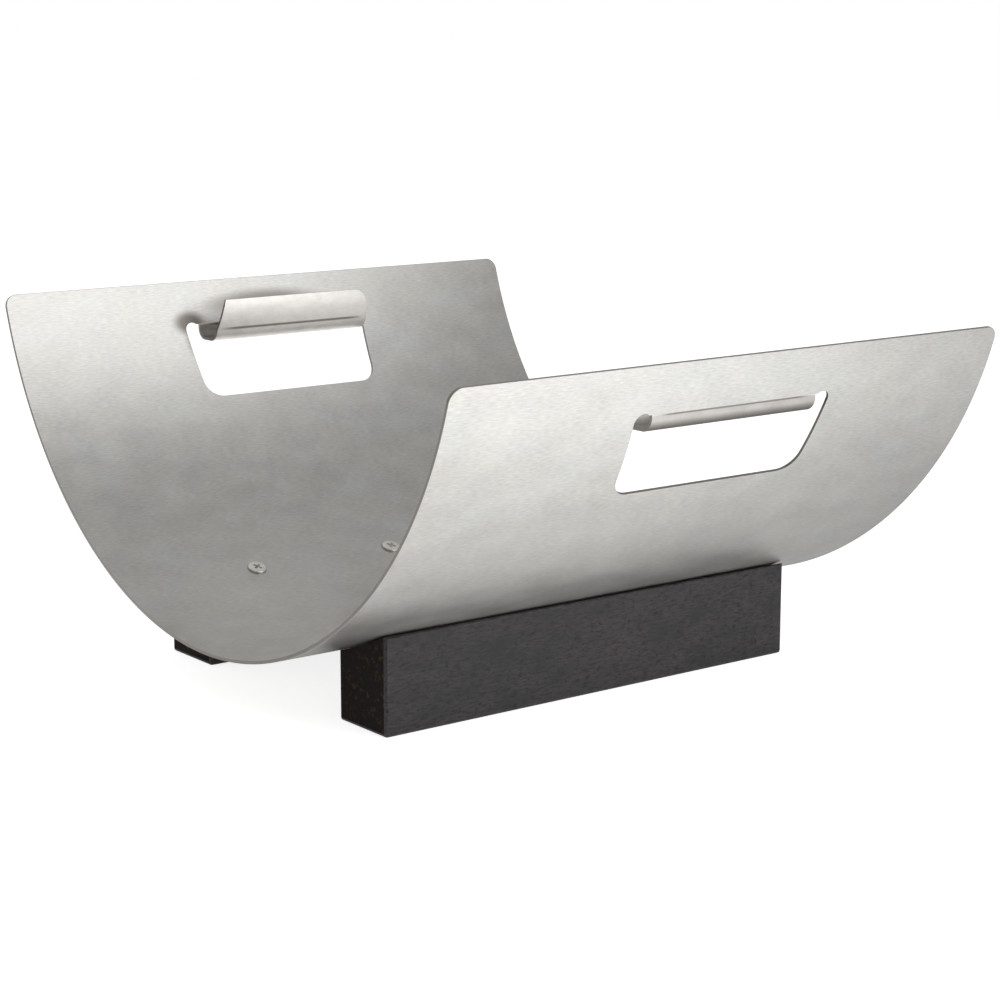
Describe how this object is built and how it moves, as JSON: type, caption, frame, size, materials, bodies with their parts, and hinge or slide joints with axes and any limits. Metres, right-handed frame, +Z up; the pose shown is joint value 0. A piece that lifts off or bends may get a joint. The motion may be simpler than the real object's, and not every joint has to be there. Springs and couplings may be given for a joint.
{
  "type": "log holder",
  "caption": "Open trough of rolled brushed steel for holding firewood by the hearth, with curled hand holes in both long sides, on dark wooden feet.",
  "frame": {"origin": "on the floor, at the middle of the log holder", "axes": "+X along the logs, +Y across to the back foot, +Z up"},
  "size_m": [0.4, 0.493, 0.2195],
  "materials": {
    "sheet_steel": "stainless sheet, brushed along the logs, satin",
    "foot_wood": "dark brown stained hardwood, matt",
    "screw_steel": "plain stainless steel, satin"
  },
  "bodies": {
    "root": {"trough_sheet": "sheet_steel", "front_foot": "foot_wood", "back_foot": "foot_wood", "front_screw_left": "screw_steel", "front_screw_middle": "screw_steel", "front_screw_right": "screw_steel", "back_screw_left": "screw_steel", "back_screw_middle": "screw_steel", "back_screw_right": "screw_steel"}
  },
  "joints": []
}
